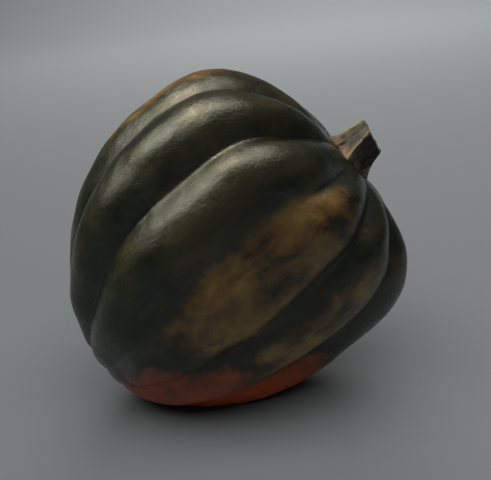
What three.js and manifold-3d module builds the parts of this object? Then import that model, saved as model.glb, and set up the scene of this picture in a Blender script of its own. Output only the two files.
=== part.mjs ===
// Acorn squash (Cucurbita pepo), picked, lying on its ground spot with the stem end up.
// Millimetres, +Z up. The origin is under the middle of the whole squash, on the surface it lies on.
//
// Each piece is made in the fruit's own frame, with the stem's axis along +Z, zero height at the
// widest ring and bearings counted from +X towards +Y. One nested group then lays the squash down.

import * as THREE from 'three';
import { mergeVertices } from 'three/addons/utils/BufferGeometryUtils.js';
import Module from 'manifold-3d';

// ---- driving dimensions, mm and degrees ----

const CREST_RADIUS = 61.5; // stem axis to the top of a rib, at the widest ring
const SHOULDER_HEIGHT = 50.5; // widest ring up to the tops of the ribs round the stem
const BLOSSOM_DEPTH = 75; // widest ring down to the blossom tip
const SHOULDER_POWER = 3.1; // 2 is an ellipse; more makes squarer shoulders
const AXIS_BOW = 6; // how far the middle swells towards the side away from the ground
const BOW_BEARING = -90;

const RIB_BEARINGS = [-86, -45, -9, 20, 46, 84, 124, 162, 199, 235]; // rib crests
const GROOVE_SHARES = [1, 1, 0.5, 0.65, 1, 1, 1, 1, 1, 1]; // depth of the groove after each crest
const GROOVE_DEPTH = 5.8; // at the widest ring
const SHOULDER_GROOVE = 1.6; // what the grooves gain at the shoulders
const GROOVE_SHARPNESS = 0.8; // under 1 gives broad ribs with narrow grooves between them

const SEAT_RADIUS = 11; // flat seat under the stem
const SEAT_DEPTH = 0.6; // below the rib tops
const SEAT_RIM = 19; // radius where the dip to the seat begins
const SCAR_RADIUS = 5; // blossom scar, a small button at the tip
const SCAR_HEIGHT = 0.9;

const STEM_GAP = 0.3; // between the stem's foot and its seat
const STEM_LENGTH = 12.5;
const STEM_FOOT_RADIUS = 9;
const STEM_WAIST_RADIUS = 7;
const STEM_TOP_RADIUS = 6.7;
const STEM_ANGLES = 5; // corners of its section
const STEM_CORNER = 0.12; // how far the corners stand out, as a share of the radius
const STEM_TOP_SLOPE = 13; // the cut across the top

const STEM_RISE = 36; // stem axis above the level, lying at rest
const BEARING_DOWN = 104; // the groove between two ribs, so that the squash lies on both
const GROUND_SPOT_FLAT = 3; // how much the fruit's own weight has flattened it there

const COLUMNS_PER_RIB = 8;
const SHOULDER_ROWS = 15;
const BLOSSOM_ROWS = 17;
const STEM_COLUMNS = 20;

const RIND = new THREE.MeshStandardMaterial({
  name: 'rind',
  color: new THREE.Color(0.1, 0.11, 0.07),
  roughness: 0.32,
  metalness: 0,
});
const WOODY_STEM = new THREE.MeshStandardMaterial({
  name: 'woody_stem',
  color: new THREE.Color(0.36, 0.3, 0.22),
  roughness: 0.75,
  metalness: 0,
});

const wasm = await Module();
wasm.setup();

const { cos, sin, PI, abs, pow } = Math;
const rad = THREE.MathUtils.degToRad;
const ease = THREE.MathUtils.smoothstep;

// ---- the fruit's outline ----

// A rib crest's outline at an angle from the stem end (0) to the blossom tip (pi), in x = radius
// and y = height, before the seat and the scar.
function crestOutline(angle) {
  const above = angle < PI / 2;
  const power = above ? 2 / SHOULDER_POWER : 1;
  const height = above ? SHOULDER_HEIGHT : -BLOSSOM_DEPTH;
  return new THREE.Vector2(
    CREST_RADIUS * pow(sin(angle), power),
    height * pow(abs(cos(angle)), power),
  );
}

// The same outline with the dip round the stem, the flat seat in it and the button at the tip.
function finishedOutline(angle) {
  const point = crestOutline(angle);
  if (angle < PI / 2) {
    const dip = SEAT_DEPTH * (1 - ease(point.x, SEAT_RADIUS, SEAT_RIM));
    point.y = Math.min(point.y, SHOULDER_HEIGHT) - dip;
    if (point.x <= SEAT_RADIUS + 0.01) point.y = SHOULDER_HEIGHT - SEAT_DEPTH;
  } else {
    point.y -= SCAR_HEIGHT * (1 - ease(point.x, SCAR_RADIUS * 0.6, SCAR_RADIUS));
  }
  return point;
}

// The angles that the outline is cut at, from the blossom tip up, because a lathe's profile climbs:
// the scar's top and rim, even steps on either side of the widest ring, and the seat's edge.
function outlineAngles() {
  const seatEdge = Math.asin(pow(SEAT_RADIUS / CREST_RADIUS, SHOULDER_POWER / 2));
  const scarRim = PI - Math.asin(SCAR_RADIUS / CREST_RADIUS);
  const scarTop = PI - Math.asin((SCAR_RADIUS * 0.6) / CREST_RADIUS);
  const angles = [PI, scarTop];
  for (let i = 0; i <= BLOSSOM_ROWS; i++) {
    angles.push(scarRim + (i / BLOSSOM_ROWS) * (PI / 2 - scarRim));
  }
  for (let i = 1; i <= SHOULDER_ROWS; i++) {
    angles.push(PI / 2 + (i / SHOULDER_ROWS) * (seatEdge - PI / 2));
  }
  angles.push(0);
  return angles;
}

// The outward direction of the crest's outline, level with the axis at the widest ring.
function outwardAt(angle) {
  const step = 1e-3;
  const before = crestOutline(Math.max(angle - step, 1e-6));
  const after = crestOutline(Math.min(angle + step, PI - 1e-6));
  const along = after.sub(before).normalize();
  return new THREE.Vector2(-along.y, along.x);
}

// Groove depth at an angle: full round the middle, deeper at the shoulders, dying out at both ends.
function grooveDepthAt(angle) {
  const radius = crestOutline(angle).x;
  if (angle < PI / 2) {
    const shoulder = sin(PI * ease(radius, 0.35 * CREST_RADIUS, CREST_RADIUS));
    const fade = ease(radius, SEAT_RADIUS, 0.7 * CREST_RADIUS);
    return (GROOVE_DEPTH + SHOULDER_GROOVE * shoulder) * fade;
  }
  return GROOVE_DEPTH * ease(radius, 0, 0.9 * CREST_RADIUS);
}

// ---- the ribs ----

// Where a column of the mesh lies: its bearing, and how far the surface stands between the bottom
// of a full groove (0) and the crest (1).
function ribColumns() {
  const columns = [];
  const count = RIB_BEARINGS.length;
  RIB_BEARINGS.forEach((crest, i) => {
    const last = i === 0 ? RIB_BEARINGS[count - 1] - 360 : RIB_BEARINGS[i - 1];
    const next = i === count - 1 ? RIB_BEARINGS[0] + 360 : RIB_BEARINGS[i + 1];
    for (let k = 0; k < COLUMNS_PER_RIB; k++) {
      const across = (2 * k) / COLUMNS_PER_RIB - 1; // -1 and 1 are the grooves, 0 the crest
      const width = across < 0 ? crest - last : next - crest;
      const bearing = crest + (across * width) / 2;
      const share = GROOVE_SHARES[across < 0 ? (i + count - 1) % count : i];
      const fallen = 1 - pow(abs(cos((PI / 2) * across)), GROOVE_SHARPNESS);
      columns.push({ bearing, stand: 1 - share * fallen });
    }
  });
  columns.push({ ...columns[0], bearing: columns[0].bearing + 360 });
  return columns;
}

// A point of the ribbed surface, in the fruit's own frame.
function surfacePoint(angle, { bearing, stand }) {
  const outline = finishedOutline(angle);
  const inward = grooveDepthAt(angle) * (1 - stand);
  outline.addScaledVector(outwardAt(angle), -inward);
  const bow = AXIS_BOW * pow(sin(angle), 2);
  return new THREE.Vector3(
    outline.x * cos(rad(bearing)) + bow * cos(rad(BOW_BEARING)),
    outline.x * sin(rad(bearing)) + bow * sin(rad(BOW_BEARING)),
    outline.y,
  );
}

// A lathe turned from the plain outline, with each vertex then moved onto the ribbed surface.
function ribbedFruit() {
  const angles = outlineAngles();
  const columns = ribColumns();
  const profile = angles.map((angle) => finishedOutline(angle));
  const fruit = new THREE.LatheGeometry(profile, columns.length - 1);
  const positions = fruit.getAttribute('position');
  columns.forEach((column, i) => {
    angles.forEach((angle, j) => {
      const point = surfacePoint(angle, column);
      const onAxis = j === 0 || j === angles.length - 1;
      if (onAxis) point.set(0, 0, profile[j].y);
      positions.setXYZ(i * angles.length + j, point.x, point.y, point.z);
    });
  });
  return fruit;
}

// ---- the stem ----

// Radius at a height above the foot, from the spread foot through the waist to the cut top.
function stemRadiusAt(share) {
  const spread = (STEM_FOOT_RADIUS - STEM_WAIST_RADIUS) * pow(1 - share, 2.4);
  const head = (STEM_TOP_RADIUS - STEM_WAIST_RADIUS) * pow(share, 3);
  return STEM_WAIST_RADIUS + spread + head;
}

// A lathed post whose section has blunt corners and whose top is cut on a slope.
function stemPost() {
  const rows = [0, 0.08, 0.22, 0.4, 0.6, 0.8, 0.94, 1];
  const profile = [new THREE.Vector2(0, 0)];
  rows.forEach((share) => profile.push(new THREE.Vector2(stemRadiusAt(share), share * STEM_LENGTH)));
  profile[profile.length - 1].x -= 0.8; // the worn rim of the cut
  profile.push(new THREE.Vector2(0, STEM_LENGTH));
  const stem = new THREE.LatheGeometry(profile, STEM_COLUMNS);
  const positions = stem.getAttribute('position');
  const seat = SHOULDER_HEIGHT - SEAT_DEPTH + STEM_GAP;
  for (let i = 0; i < positions.count; i++) {
    const [x, height, z] = [positions.getX(i), positions.getY(i), positions.getZ(i)];
    const corner = 1 + STEM_CORNER * cos(STEM_ANGLES * Math.atan2(x, z));
    const slope = -Math.tan(rad(STEM_TOP_SLOPE)) * x * (height / STEM_LENGTH);
    positions.setXYZ(i, z * corner, x * corner, seat + height + slope);
  }
  return stem;
}

// ---- cutting the ground spot ----

// The closed solid of a geometry, its shared corners merged and its empty faces dropped.
function solidOf(geometry) {
  const bare = geometry.clone();
  bare.deleteAttribute('normal');
  bare.deleteAttribute('uv');
  const merged = mergeVertices(bare, 1e-4);
  const corners = merged.index.array;
  const faces = [];
  for (let i = 0; i < corners.length; i += 3) {
    const [a, b, c] = corners.slice(i, i + 3);
    if (a !== b && b !== c && c !== a) faces.push(a, b, c);
  }
  const vertProperties = new Float32Array(merged.getAttribute('position').array);
  const triVerts = new Uint32Array(faces);
  return new wasm.Manifold(new wasm.Mesh({ numProp: 3, vertProperties, triVerts }));
}

function geometryOf(solid) {
  const mesh = solid.getMesh();
  const geometry = new THREE.BufferGeometry();
  geometry.setAttribute('position', new THREE.BufferAttribute(mesh.vertProperties, 3));
  geometry.setIndex(new THREE.BufferAttribute(mesh.triVerts, 1));
  geometry.computeVertexNormals();
  return geometry;
}

// The turn from the fruit's own frame to how it lies: its axis rises by STEM_RISE towards +X, and
// BEARING_DOWN faces the surface.
function lyingTurn() {
  const spin = new THREE.Quaternion().setFromAxisAngle(new THREE.Vector3(0, 0, 1), rad(-BEARING_DOWN));
  const lay = new THREE.Quaternion().setFromAxisAngle(new THREE.Vector3(0, 1, 0), rad(90 - STEM_RISE));
  return lay.multiply(spin);
}

// How far below the fruit's own origin its lowest point lies once it is turned.
function lowestPoint(geometry, turn) {
  const box = new THREE.Box3();
  const turned = geometry.clone().applyQuaternion(turn);
  return box.setFromBufferAttribute(turned.getAttribute('position')).min.z;
}

// The fruit with everything below the level plane at a height cut off, as it lies.
function trimBelow(geometry, turn, height) {
  const size = 4 * BLOSSOM_DEPTH;
  const block = new THREE.BoxGeometry(size, size, size);
  block.translate(0, 0, height - size / 2);
  block.applyQuaternion(turn.clone().invert());
  return geometryOf(solidOf(geometry).subtract(solidOf(block)));
}

// ---- assembly ----

const turn = lyingTurn();
const whole = ribbedFruit();
const floorHeight = lowestPoint(whole, turn) + GROUND_SPOT_FLAT;

const fruit = new THREE.Mesh(trimBelow(whole, turn, floorHeight), RIND);
fruit.name = 'fruit';
const stem = new THREE.Mesh(stemPost(), WOODY_STEM);
stem.name = 'stem';

const lying = new THREE.Group();
lying.add(fruit, stem);
lying.quaternion.copy(turn);
lying.position.z = -floorHeight;

const squash = new THREE.Group();
squash.name = 'acorn_squash';
squash.add(lying);

const bounds = new THREE.Box3().setFromObject(squash, true);
const middle = bounds.getCenter(new THREE.Vector3());
lying.position.x -= middle.x;
lying.position.y -= middle.y;

export default squash;
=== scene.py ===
import math

import bmesh
import bpy
from mathutils import Matrix, Vector, noise


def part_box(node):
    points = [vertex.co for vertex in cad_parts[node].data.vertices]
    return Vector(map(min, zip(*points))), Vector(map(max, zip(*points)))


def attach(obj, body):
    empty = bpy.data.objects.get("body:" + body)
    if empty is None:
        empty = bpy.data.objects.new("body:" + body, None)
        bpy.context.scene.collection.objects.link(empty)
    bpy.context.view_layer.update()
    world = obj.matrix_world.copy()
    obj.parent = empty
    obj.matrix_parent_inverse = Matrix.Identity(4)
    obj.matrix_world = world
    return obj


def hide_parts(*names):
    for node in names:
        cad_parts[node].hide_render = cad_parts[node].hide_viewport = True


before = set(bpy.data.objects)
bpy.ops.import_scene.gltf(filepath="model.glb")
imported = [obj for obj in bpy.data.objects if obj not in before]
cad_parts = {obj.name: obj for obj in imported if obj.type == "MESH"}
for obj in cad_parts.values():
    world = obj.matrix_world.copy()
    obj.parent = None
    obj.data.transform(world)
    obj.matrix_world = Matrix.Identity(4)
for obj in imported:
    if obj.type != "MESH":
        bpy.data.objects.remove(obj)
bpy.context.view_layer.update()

# An acorn squash lying on its orange ground spot, with its cut stem raised. Lengths are in metres.
# Each piece is made in the fruit's own frame, with the stem's axis along +Z, zero height at the
# widest ring and bearings counted from +X towards +Y, and is then laid down where the CAD has it.

MM = 0.001

CREST_RADIUS = 61.5 * MM
SHOULDER_HEIGHT = 50.5 * MM
BLOSSOM_DEPTH = 75 * MM
SHOULDER_POWER = 3.1
AXIS_BOW = 6 * MM
BOW_BEARING = math.radians(-90)

RIB_BEARINGS = (-86, -45, -9, 20, 46, 84, 124, 162, 199, 235)
GROOVE_SHARES = (1, 1, 0.5, 0.65, 1, 1, 1, 1, 1, 1)    # depth of the groove after each crest
GROOVE_DEPTH = 5.8 * MM
SHOULDER_GROOVE = 1.6 * MM
GROOVE_SHARPNESS = 0.8
GROOVE_SOFTNESS = 0.2       # rounds the bottom of each groove

SEAT_RADIUS = 11 * MM
SEAT_DEPTH = 0.6 * MM
SEAT_RIM = 19 * MM
SCAR_RADIUS = 5 * MM
SCAR_HEIGHT = 0.9 * MM

STEM_LENGTH = 12.5 * MM
STEM_FOOT_RADIUS = 9 * MM
STEM_WAIST_RADIUS = 7 * MM
STEM_TOP_RADIUS = 6.7 * MM
STEM_RIDGES = 5
STEM_TOP_SLOPE = math.radians(13)

STEM_RISE = math.radians(36)
BEARING_DOWN = math.radians(104)

FRUIT_COLUMNS = 432
FRUIT_ROWS = 200
STEM_COLUMNS = 200
STEM_ROWS = 44

CAMERA_LENS = 73.3
CAMERA_DISTANCE = 389 * MM
CAMERA_ELEVATION = math.radians(17.1)
CAMERA_ROLL = math.radians(5.8)
CAMERA_SIDE = -1.7 * MM      # the middle of the picture, from the middle of the fruit's widest ring
CAMERA_LIFT = 1.0 * MM


def ease(value, low, high):
    """0 below low, 1 above high, and a smooth step between."""
    t = min(max((value - low) / (high - low), 0.0), 1.0)
    return t * t * (3 - 2 * t)


# ---- the fruit's outline, as the CAD draws it ----

def crest_outline(angle):
    """Radius and height of a rib's crest, by the angle from the stem end to the blossom tip."""
    above = angle < math.pi / 2
    power = 2 / SHOULDER_POWER if above else 1.0
    height = SHOULDER_HEIGHT if above else -BLOSSOM_DEPTH
    return Vector((
        CREST_RADIUS * max(math.sin(angle), 0.0) ** power,
        height * abs(math.cos(angle)) ** power,
    ))


def outline_angle(radius, height):
    """The angle whose crest lies at a radius and height."""
    if height > 0:
        across = (radius / CREST_RADIUS) ** (SHOULDER_POWER / 2)
        up = (height / SHOULDER_HEIGHT) ** (SHOULDER_POWER / 2)
        return math.atan2(across, up)
    return math.atan2(radius / CREST_RADIUS, height / BLOSSOM_DEPTH)


def finished_outline(angle):
    """The crest with the flat seat under the stem and the button at the blossom tip."""
    point = crest_outline(angle)
    if angle < math.pi / 2:
        point.y -= SEAT_DEPTH * (1 - ease(point.x, SEAT_RADIUS, SEAT_RIM))
    else:
        point.y -= SCAR_HEIGHT * (1 - ease(point.x, 0.55 * SCAR_RADIUS, SCAR_RADIUS))
    return point


def outward_at(angle):
    """The direction square to the crest's outline, away from the axis."""
    step = 1e-3
    before = crest_outline(max(angle - step, 1e-6))
    after = crest_outline(min(angle + step, math.pi - 1e-6))
    along = (after - before).normalized()
    return Vector((-along.y, along.x))


def groove_depth_at(angle):
    radius = crest_outline(angle).x
    if angle < math.pi / 2:
        shoulder = math.sin(math.pi * ease(radius, 0.35 * CREST_RADIUS, CREST_RADIUS))
        fade = ease(radius, SEAT_RADIUS, 0.7 * CREST_RADIUS)
        return (GROOVE_DEPTH + SHOULDER_GROOVE * shoulder) * fade
    return GROOVE_DEPTH * ease(radius, 0, 0.9 * CREST_RADIUS)


def rib_across(bearing):
    """Where a bearing, in degrees, lies across its rib, 0 at the crest and -1 and 1 at the grooves,
    and the share of the full depth that the groove on that side has."""
    crests = [c + turn for turn in (-360, 0, 360) for c in RIB_BEARINGS]
    nearest = min(crests, key=lambda crest: abs(crest - bearing))
    i = crests.index(nearest)
    while bearing > (crests[i] + crests[i + 1]) / 2:
        i += 1
    while bearing < (crests[i] + crests[i - 1]) / 2:
        i -= 1
    rib = i % len(RIB_BEARINGS)
    if bearing > crests[i]:
        return 2 * (bearing - crests[i]) / (crests[i + 1] - crests[i]), GROOVE_SHARES[rib]
    return 2 * (bearing - crests[i]) / (crests[i] - crests[i - 1]), GROOVE_SHARES[rib - 1]


def rib_stand(across, share):
    """How far the surface stands between the bottom of a full groove (0) and the crest (1)."""
    soft = GROOVE_SOFTNESS
    arch = math.hypot(math.cos(math.pi / 2 * across), soft) - soft
    return 1 - share * (1 - (arch / (math.hypot(1, soft) - soft)) ** GROOVE_SHARPNESS)


def surface_place(turn, angle, stand, relief=0.0):
    """A point of the ribbed surface, in the fruit's own frame."""
    outline = finished_outline(angle)
    outline += outward_at(angle) * (relief - groove_depth_at(angle) * (1 - stand))
    bow = AXIS_BOW * math.sin(angle) ** 2
    if angle < 1e-4 or angle > math.pi - 1e-4:
        outline.x = 0
    return Vector((
        outline.x * math.cos(turn) + bow * math.cos(BOW_BEARING),
        outline.x * math.sin(turn) + bow * math.sin(BOW_BEARING),
        outline.y,
    ))


# ---- laying a piece down where the CAD has it ----

def lying_turn():
    """The turn from the fruit's own frame to how it lies at rest."""
    return Matrix.Rotation(math.pi / 2 - STEM_RISE, 4, "Y") @ Matrix.Rotation(-BEARING_DOWN, 4, "Z")


def fruit_middle():
    """Where the middle of the fruit's widest ring lies: there its sides and top meet the CAD's."""
    turn = lying_turn()
    places = []
    for bearing in range(0, 360, 2):
        across, share = rib_across(bearing)
        stand = rib_stand(across, share)
        for row in range(91):
            places.append(turn @ surface_place(math.radians(bearing), math.pi * row / 90, stand))
    low, high = (Vector(corner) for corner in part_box("fruit"))
    own_low = Vector([min(place[i] for place in places) for i in range(3)])
    own_high = Vector([max(place[i] for place in places) for i in range(3)])
    shift = ((low + high) - (own_low + own_high)) / 2
    return Vector((shift.x, shift.y, high.z - own_high.z))


def spun(outline, steps):
    """A closed shell: an outline of radius and height turned once round the axis."""
    shell = bmesh.new()
    points = [shell.verts.new((radius, 0, height)) for radius, height in outline]
    edges = [shell.edges.new(pair) for pair in zip(points, points[1:])]
    bmesh.ops.spin(
        shell, geom=points + edges, axis=(0, 0, 1), cent=(0, 0, 0),
        angle=2 * math.pi, steps=steps, use_merge=True,
    )
    bmesh.ops.remove_doubles(shell, verts=shell.verts, dist=1e-7)
    bmesh.ops.recalc_face_normals(shell, faces=shell.faces)
    return shell


def make_piece(shell, name, node, material):
    """Lays a shell down, makes it an object, hangs it on the root body and hides the CAD part it
    replaces.
    """
    bmesh.ops.transform(shell, matrix=Matrix.Translation(middle) @ lying_turn(), verts=shell.verts)
    for face in shell.faces:
        face.smooth = True
    mesh = bpy.data.meshes.new(name)
    shell.to_mesh(mesh)
    shell.free()
    piece = bpy.data.objects.new(name, mesh)
    bpy.context.scene.collection.objects.link(piece)
    mesh.materials.append(material)
    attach(piece, "root")
    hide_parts(node)
    return piece


# ---- the fruit ----

def lumps(place, size, depth, seed):
    """A smooth random swell of about a depth, with lumps of about a size."""
    return depth * noise.noise(place / size + Vector((seed, 2.7 * seed, -seed)))


def rind_relief(place):
    """Uneven growth: slow swells, lumps along the ribs and a faint unevenness of the skin."""
    relief = lumps(place, 34 * MM, 1.1 * MM, 3.1)
    relief += lumps(place, 13 * MM, 0.6 * MM, 11.3)
    relief += lumps(place, 6 * MM, 0.15 * MM, 23.9)
    return relief


def spread_angles(rows):
    """Angles from the blossom tip to the stem end, evenly spread along the outline's length."""
    fine = [math.pi * (1 - i / 4000) for i in range(4001)]
    reach = [0.0]
    for a, b in zip(fine, fine[1:]):
        reach.append(reach[-1] + (crest_outline(b) - crest_outline(a)).length)
    angles, i = [], 0
    for row in range(rows + 1):
        while i < len(fine) - 1 and reach[i] < reach[-1] * row / rows:
            i += 1
        angles.append(fine[i])
    return angles


def grow_ribs(shell):
    """Moves each point of the turned shell onto the ribbed surface, and marks what grows there."""
    layers = shell.verts.layers
    grown = layers.float_vector.new("grown")
    rib_layer = layers.float.new("rib")
    ground_layer = layers.float.new("ground")
    warm_layer = layers.float.new("warm")
    down = Vector((
        math.cos(SPOT_RISE) * math.cos(SPOT_BEARING),
        math.cos(SPOT_RISE) * math.sin(SPOT_BEARING),
        math.sin(SPOT_RISE),
    ))
    for point in shell.verts:
        radius = math.hypot(point.co.x, point.co.y)
        turn = math.atan2(point.co.y, point.co.x)
        angle = outline_angle(radius, point.co.z)
        across, share = rib_across(math.degrees(turn))
        stand = rib_stand(across, share)
        round_way = Vector((math.cos(turn), math.sin(turn), 0))
        smooth_place = round_way * radius + Vector((0, 0, point.co.z))

        relief = rind_relief(smooth_place) * ease(radius, 0.2 * MM, 14 * MM)
        point.co = surface_place(turn, angle, stand, relief)

        point[grown] = smooth_place
        point[rib_layer] = stand
        point[ground_layer] = smooth_place.normalized().angle(down) / (math.pi / 2)
        point[warm_layer] = warmth_at(math.degrees(turn), smooth_place.z)


# Ribs that have begun to ripen: bearing of the streak's middle, its half width, both in degrees,
# and how ripe it is. Each runs from the shoulder well down towards the blossom end.
WARM_STREAKS = ((17, 13, 1.0), (48, 9, 0.62), (-84, 10, 0.55), (150, 12, 0.7), (214, 10, 0.5))

# The middle of the spot that lay on the ground, nearer the blossom end than where it now rests.
SPOT_BEARING = math.radians(98)
SPOT_RISE = math.radians(-47)


def warmth_at(bearing, height):
    """0 on green rind and up to 1 in the middle of a ripening streak."""
    along = ease(height, -48 * MM, -8 * MM) * (1 - 0.7 * ease(height, 26 * MM, 50 * MM))
    warmth = 0.0
    for middle_bearing, half_width, ripe in WARM_STREAKS:
        apart = abs((bearing - middle_bearing + 180) % 360 - 180)
        warmth = max(warmth, ripe * (1 - ease(apart, 0.45 * half_width, 1.5 * half_width)))
    return warmth * along


def press_flat(shell):
    """Flattens what would reach below the surface, with a soft edge, once the fruit lies down."""
    soft = 0.7 * MM
    for point in shell.verts:
        point.co.z = (point.co.z + math.hypot(point.co.z, soft)) / 2


def make_fruit():
    outline = [tuple(crest_outline(angle)) for angle in spread_angles(FRUIT_ROWS)]
    shell = spun(outline, FRUIT_COLUMNS)
    grow_ribs(shell)
    bmesh.ops.recalc_face_normals(shell, faces=shell.faces)
    fruit = make_piece(shell, "ribbed_fruit", "fruit", rind_material())
    flat = bmesh.new()
    flat.from_mesh(fruit.data)
    press_flat(flat)
    flat.to_mesh(fruit.data)
    flat.free()
    return fruit


# ---- the stem ----

def stem_radius_at(share):
    spread = (STEM_FOOT_RADIUS - STEM_WAIST_RADIUS) * (1 - share) ** 2.4
    head = (STEM_TOP_RADIUS - STEM_WAIST_RADIUS) * share ** 3
    return STEM_WAIST_RADIUS + spread + head


def stem_outline():
    """Up the side from the foot's edge, over the worn rim and in across the cut."""
    outline = [(0, -0.8 * MM), (0.6 * STEM_FOOT_RADIUS, -0.8 * MM)]
    for row in range(STEM_ROWS + 1):
        share = row / STEM_ROWS
        worn = 0.7 * MM * ease(share, 0.93, 1.0)
        outline.append((stem_radius_at(share) - worn, share * STEM_LENGTH))
    rim = outline[-1][0]
    for ring in range(1, 15):
        outline.append((rim * (1 - ring / 15), STEM_LENGTH))
    outline.append((0, STEM_LENGTH))
    return outline


def carve_stem(shell):
    """Gives the turned post its ridges, fibres, spread foot and rough, sloping cut."""
    layers = shell.verts.layers
    share_layer = layers.float.new("up")
    ridge_layer = layers.float.new("ridge")
    grown = layers.float_vector.new("grown")
    seat = SHOULDER_HEIGHT - SEAT_DEPTH
    for point in shell.verts:
        radius = math.hypot(point.co.x, point.co.y)
        turn = math.atan2(point.co.y, point.co.x)
        height = point.co.z
        share = min(max(height / STEM_LENGTH, 0), 1)
        place = point.co.copy()
        twist = turn + 0.35 * share
        ridge = 1 - abs(math.sin(STEM_RIDGES * twist / 2))
        fine = 0.5 + 0.5 * noise.noise(Vector((math.cos(twist), math.sin(twist), 0.1 * share)) * 6)
        grow = 1 + 0.26 * (ridge - 0.36) + 0.07 * (fine - 0.5)
        grow += 0.16 * (ridge - 0.3) * (1 - share) ** 3
        side = ease(radius, 0.2 * STEM_TOP_RADIUS, 0.95 * STEM_TOP_RADIUS)
        bark = lumps(Vector((place.x, place.y, 0.3 * place.z)), 1.6 * MM, 0.35 * MM, 5.5) * side
        sunk = 0.9 * MM * (1 - side) * ease(share, 0.98, 1.0)
        chipped = lumps(place, 2.6 * MM, 0.7 * MM, 8.8) * ease(share, 0.85, 1.0)
        across = Vector((math.cos(turn), math.sin(turn), 0)) * (radius * grow + bark)
        slope = -math.tan(STEM_TOP_SLOPE) * across.y * share
        point.co = across + Vector((0, 0, seat + height + slope + chipped - sunk))
        point[share_layer] = share
        point[ridge_layer] = ridge
        point[grown] = place


def make_stem():
    shell = spun(stem_outline(), STEM_COLUMNS)
    carve_stem(shell)
    bmesh.ops.recalc_face_normals(shell, faces=shell.faces)
    return make_piece(shell, "cut_stem", "stem", stem_material())


# ---- materials ----

class Shading:
    """Builds one material's nodes. A socket given a number or colour is set, and one given
    another node's output is linked."""

    def __init__(self, name):
        self.material = bpy.data.materials.new(name)
        self.material.use_nodes = True
        self.tree = self.material.node_tree
        self.shader = self.tree.nodes["Principled BSDF"]

    def fill(self, node, sockets):
        for key, value in sockets.items():
            if isinstance(value, bpy.types.NodeSocket):
                self.tree.links.new(value, node.inputs[key])
            else:
                node.inputs[key].default_value = value

    def node(self, kind, sockets, **settings):
        made = self.tree.nodes.new("ShaderNode" + kind)
        for key, value in settings.items():
            setattr(made, key, value)
        self.fill(made, sockets)
        return made

    def attribute(self, name, output="Fac"):
        return self.node("Attribute", {}, attribute_name=name).outputs[output]

    def stretched(self, vector, scale):
        return self.node("Mapping", {"Vector": vector, "Scale": scale}).outputs[0]

    def noise(self, vector, scale, detail=4.0, rough=0.55, warp=0.0):
        return self.node("TexNoise", {
            "Vector": vector, "Scale": scale, "Detail": detail, "Roughness": rough,
            "Distortion": warp,
        }).outputs["Fac"]

    def math(self, operation, a, b=0.0, c=0.0):
        return self.node("Math", {0: a, 1: b, 2: c}, operation=operation).outputs[0]

    def share(self, value, part):
        return self.math("MULTIPLY", value, part)

    def sway(self, noise_value, amount):
        """A noise centred on zero, to make an edge ragged."""
        return self.share(self.math("SUBTRACT", noise_value, 0.5), amount)

    def step(self, value, low, high):
        """0 below low and 1 above high, smoothly. With low above high it runs the other way."""
        made = self.node("MapRange", {
            "Value": value, "From Min": low, "From Max": high, "To Min": 0.0, "To Max": 1.0,
        }, interpolation_type="SMOOTHSTEP")
        return made.outputs[0]

    def ramp(self, value, *stops):
        """A colour ramp through stops of (position, colour)."""
        made = self.node("ValToRGB", {"Fac": value})
        elements = made.color_ramp.elements
        while len(elements) < len(stops):
            elements.new(0.5)
        for element, (position, colour) in zip(elements, stops):
            element.position = position
            element.color = (*colour, 1)
        return made.outputs["Color"]

    def mix(self, share, below, above):
        made = self.tree.nodes.new("ShaderNodeMix")
        made.data_type = "RGBA"
        colours = [s for s in made.inputs if s.type == "RGBA"]
        for socket, value in ((made.inputs[0], share), (colours[0], below), (colours[1], above)):
            if isinstance(value, bpy.types.NodeSocket):
                self.tree.links.new(value, socket)
            else:
                socket.default_value = (*value, 1) if isinstance(value, tuple) else value
        return next(s for s in made.outputs if s.type == "RGBA")

    def bump(self, height, strength, distance, under=None):
        sockets = {"Height": height, "Strength": strength, "Distance": distance}
        if under is not None:
            sockets["Normal"] = under
        return self.node("Bump", sockets).outputs[0]


DARK_GREEN = (0.0036, 0.0048, 0.0022)
LEAF_GREEN = (0.0135, 0.0165, 0.0060)
OLIVE = (0.050, 0.041, 0.011)
BRONZE = (0.170, 0.088, 0.024)
GOLD = (0.320, 0.200, 0.052)
RUST = (0.170, 0.040, 0.012)
RED_ORANGE = (0.560, 0.080, 0.018)
ORANGE = (0.620, 0.120, 0.022)
CORK = (0.190, 0.130, 0.080)
DARK_CORK = (0.055, 0.032, 0.020)


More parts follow.
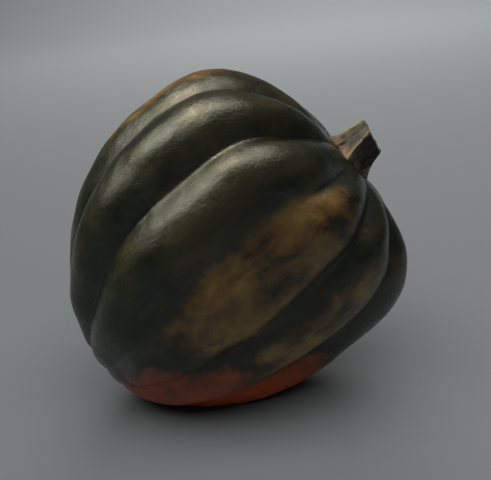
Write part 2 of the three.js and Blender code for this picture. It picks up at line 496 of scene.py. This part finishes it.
def rind_material():
    """Near-black waxy green rind, mottled along the ribs, ripening in streaks and on the ground,
    with painted shade darkening the grooves.
    """
    s = Shading("waxy_rind")
    grown = s.attribute("grown", "Vector")
    rib = s.attribute("rib")
    long_noise = s.noise(s.stretched(grown, (1, 1, 0.6)), 90, 7, 0.62, 0.3)
    patch_noise = s.noise(s.stretched(grown, (1, 1, 0.7)), 42, 6, 0.62, 0.4)
    fleck_noise = s.noise(s.stretched(grown, (1, 1, 0.4)), 620, 3, 0.7)

    green = s.ramp(long_noise, (0.36, DARK_GREEN), (0.52, LEAF_GREEN), (0.68, OLIVE))
    broad = s.step(s.noise(s.stretched(grown, (1, 1, 0.7)), 24, 4, 0.6, 0.3), 0.48, 0.7)
    green = s.mix(s.share(broad, 0.4), green, OLIVE)
    flecks = s.step(fleck_noise, 0.62, 0.75)
    green = s.mix(s.share(flecks, 0.35), green, OLIVE)

    ripeness = s.math("ADD", s.attribute("warm"), s.sway(patch_noise, 1.9))
    warm = s.ramp(long_noise, (0.36, LEAF_GREEN), (0.49, BRONZE), (0.64, GOLD))
    warm = s.mix(s.share(broad, 0.3), warm, RUST)
    colour = s.mix(s.share(s.step(ripeness, 0.3, 0.72), 0.85), green, warm)

    reach = s.math("ADD", s.attribute("ground"), s.sway(patch_noise, 0.55))
    reach = s.math("ADD", reach, s.sway(long_noise, 0.22))
    spot = s.ramp(reach, (0.04, ORANGE), (0.24, RED_ORANGE), (0.5, RUST))
    colour = s.mix(s.step(reach, 0.54, 0.46), colour, spot)

    # Painted shade: the bottoms of the grooves are darkened towards deep green.
    groove = s.step(rib, 0.22, 0.0)
    colour = s.mix(s.share(groove, 0.45), colour, DARK_GREEN)

    place = s.node("SeparateXYZ", {"Vector": grown}).outputs
    across_axis = s.stretched(grown, (1, 1, 0))
    from_axis = s.node("VectorMath", {0: across_axis}, operation="LENGTH").outputs["Value"]
    at_tip = s.share(s.step(from_axis, 7 * MM, 3 * MM), s.step(place["Z"], 0, -10 * MM))
    at_stem = s.share(s.step(from_axis, 17 * MM, 10 * MM), s.step(place["Z"], 0, 10 * MM))
    cork = s.ramp(fleck_noise, (0.35, DARK_CORK), (0.65, CORK))
    colour = s.mix(at_tip, colour, cork)
    colour = s.mix(s.share(at_stem, 0.6), colour, OLIVE)

    scuff = s.noise(s.stretched(grown, (1, 1, 0.7)), 170, 7, 0.7, 0.3)
    rough = s.math("MULTIPLY_ADD", scuff, 0.5, 0.05)
    rough = s.math("ADD", rough, s.share(at_tip, 0.4))
    pores = s.bump(fleck_noise, 0.3, 0.05 * MM)
    ripples = s.bump(scuff, 0.7, 0.6 * MM, pores)
    s.fill(s.shader, {
        "Base Color": colour, "Roughness": rough, "Normal": ripples, "IOR": 1.5,
        "Specular IOR Level": 0.55,
    })
    return s.material


STEM_TAN = (0.150, 0.115, 0.085)
STEM_GREY = (0.050, 0.043, 0.037)
STEM_DARK = (0.009, 0.007, 0.006)
STEM_PINK = (0.340, 0.205, 0.140)
STEM_PALE = (0.480, 0.410, 0.310)


def stem_material():
    """Dry corky wood with a pale worn cut. A painted highlight makes the ridges paler than the dark
    wood between them.
    """
    s = Shading("dry_stem")
    grown = s.attribute("grown", "Vector")
    up = s.attribute("up")
    ridge = s.attribute("ridge")
    fibre = s.noise(s.stretched(grown, (1, 1, 0.15)), 1100, 5, 0.65)
    bark = s.noise(s.stretched(grown, (1, 1, 0.45)), 330, 6, 0.65, 0.5)
    colour = s.ramp(bark, (0.3, STEM_DARK), (0.47, STEM_GREY), (0.68, STEM_TAN))
    colour = s.mix(s.step(fibre, 0.6, 0.35), colour, STEM_DARK)
    # Painted highlight, not wear: this mask lightens the ridges towards pale, as if they caught the
    # light.
    worn = s.share(s.step(ridge, 0.55, 0.95), s.step(bark, 0.35, 0.6))
    colour = s.mix(s.share(worn, 0.55), colour, STEM_PALE)
    foot = s.share(s.step(up, 0.35, 0.0), s.step(bark, 0.42, 0.6))
    colour = s.mix(s.share(foot, 0.7), colour, STEM_PINK)
    cut = s.step(up, 0.97, 1.0)
    pith = s.ramp(s.noise(grown, 900, 5, 0.7), (0.35, STEM_GREY), (0.6, STEM_PALE))
    colour = s.mix(s.share(cut, 0.8), colour, pith)
    relief = s.bump(bark, 0.8, 0.5 * MM, s.bump(fibre, 0.7, 0.2 * MM))
    s.fill(s.shader, {"Base Color": colour, "Roughness": 0.68, "Normal": relief})
    return s.material


# ---- the stage, the lights and the camera ----

def picture_axes():
    """Right, up and towards the camera, for the main view."""
    towards = Vector((0, -math.cos(CAMERA_ELEVATION), math.sin(CAMERA_ELEVATION)))
    right = Matrix.Rotation(-CAMERA_ROLL, 3, towards) @ Vector((1, 0, 0))
    return right, towards.cross(right), towards


def make_camera():
    right, up, towards = picture_axes()
    target = middle + right * CAMERA_SIDE + up * CAMERA_LIFT
    data = bpy.data.cameras.new("camera")
    data.lens = CAMERA_LENS
    data.clip_start = 0.01
    camera = bpy.data.objects.new("camera", data)
    bpy.context.scene.collection.objects.link(camera)
    turned = Matrix((right, up, towards)).transposed().to_4x4()
    camera.matrix_world = Matrix.Translation(target + towards * CAMERA_DISTANCE) @ turned
    bpy.context.scene.camera = camera


SKY_COLOUR = (1.0, 0.99, 0.80)
WINDOW_COLOUR = (1.0, 0.74, 0.44)
RIM_COLOUR = (0.93, 0.98, 1.0)
WORLD_COLOUR = (0.97, 1.0, 0.97, 1)
PAPER_GREY = (0.0548, 0.0588, 0.0588, 1)


def make_softbox(name, way_degrees, distance, size, radiance, colour, only=None):
    """A rectangular lamp facing the fruit. Its way is a bearing and a rise towards the stem end, in
    the fruit's own frame. It can light only the things in one collection."""
    bearing, rise = (math.radians(degrees) for degrees in way_degrees)
    way = Vector((
        math.cos(rise) * math.cos(bearing),
        math.cos(rise) * math.sin(bearing),
        math.sin(rise),
    ))
    turn = lying_turn()
    way = (turn @ way).normalized()
    axis = (turn @ Vector((0, 0, 1))).normalized()
    side = axis.cross(way).normalized()
    lamp = bpy.data.lights.new(name, "AREA")
    lamp.shape = "RECTANGLE"
    lamp.size, lamp.size_y = size
    lamp.energy = radiance * math.pi * size[0] * size[1]
    lamp.color = colour
    softbox = bpy.data.objects.new(name, lamp)
    softbox.visible_camera = False
    softbox.light_linking.receiver_collection = only
    bpy.context.scene.collection.objects.link(softbox)
    turned = Matrix((side, way.cross(side), way)).transposed().to_4x4()
    softbox.matrix_world = Matrix.Translation(middle + way * distance) @ turned


def make_paper_lamp(name, place, size, radiance, sweep_only):
    """A square lamp facing straight down that lights nothing but the paper."""
    lamp = bpy.data.lights.new(name, "AREA")
    lamp.size = size
    lamp.energy = radiance * math.pi * size * size
    paper_lamp = bpy.data.objects.new(name, lamp)
    paper_lamp.visible_camera = False
    paper_lamp.location = place
    paper_lamp.light_linking.receiver_collection = sweep_only
    bpy.context.scene.collection.objects.link(paper_lamp)


def collected(name, *things):
    """A collection that only says which things a lamp lights."""
    collection = bpy.data.collections.new(name)
    for thing in things:
        collection.objects.link(thing)
    return collection


def make_lights(fruit, stem, sweep):
    squash_only = collected("squash_only", fruit, stem)
    sweep_only = collected("sweep_only", sweep)
    make_softbox("sky_side", (-87, 15), 1.8, (0.95, 2.7), 4.6, SKY_COLOUR, squash_only)
    make_softbox("window", (-85, 13), 0.7, (0.055, 0.13), 54, WINDOW_COLOUR, squash_only)
    make_softbox("rim_side", (125, 25), 1.0, (0.5, 0.5), 0.4, RIM_COLOUR)
    make_paper_lamp("paper_fill", (0, -1.0, 1.6), 2.4, 8.0, sweep_only)
    make_paper_lamp("paper_far", (0.2, 1.5, 0.9), 1.0, 20, sweep_only)
    world = bpy.data.worlds.new("studio")
    world.use_nodes = True
    background = world.node_tree.nodes["Background"]
    background.inputs["Color"].default_value = WORLD_COLOUR
    background.inputs["Strength"].default_value = 0.15
    bpy.context.scene.world = world


def make_sweep():
    """A round paper floor that bends up at its edge, the rim folded back down behind the bend."""
    floor_radius, bend, bend_steps, fold_height = 1.6, 1.2, 16, 0.6
    outline = [(0, 0), (floor_radius, 0)]
    for i in range(1, bend_steps + 1):
        a = math.pi / 2 * i / bend_steps
        outline.append((floor_radius + bend * math.sin(a), bend * (1 - math.cos(a))))
    outline.append((floor_radius + bend, fold_height))
    shell = bmesh.new()
    points = [shell.verts.new((x, 0, z - 0.05 * MM)) for x, z in outline]
    edges = [shell.edges.new(pair) for pair in zip(points, points[1:])]
    bmesh.ops.spin(
        shell, geom=points + edges, axis=(0, 0, 1), cent=(0, 0, 0),
        angle=2 * math.pi, steps=96, use_merge=True,
    )
    bmesh.ops.remove_doubles(shell, verts=shell.verts, dist=1e-6)
    for face in shell.faces:
        face.smooth = True
        upright = abs(face.normal.z) < 0.01
        outward = face.normal.dot(face.calc_center_median()) > 0
        if face.normal.z < 0 or (upright and outward):
            face.normal_flip()
    mesh = bpy.data.meshes.new("sweep")
    shell.to_mesh(mesh)
    shell.free()
    sweep = bpy.data.objects.new("sweep", mesh)
    bpy.context.scene.collection.objects.link(sweep)
    s = Shading("sweep_paper")
    s.fill(s.shader, {"Base Color": PAPER_GREY, "Roughness": 0.9, "Specular IOR Level": 0.1})
    mesh.materials.append(s.material)
    return sweep


middle = fruit_middle()
make_camera()
make_lights(make_fruit(), make_stem(), make_sweep())
bpy.context.scene.view_settings.view_transform = "Standard"
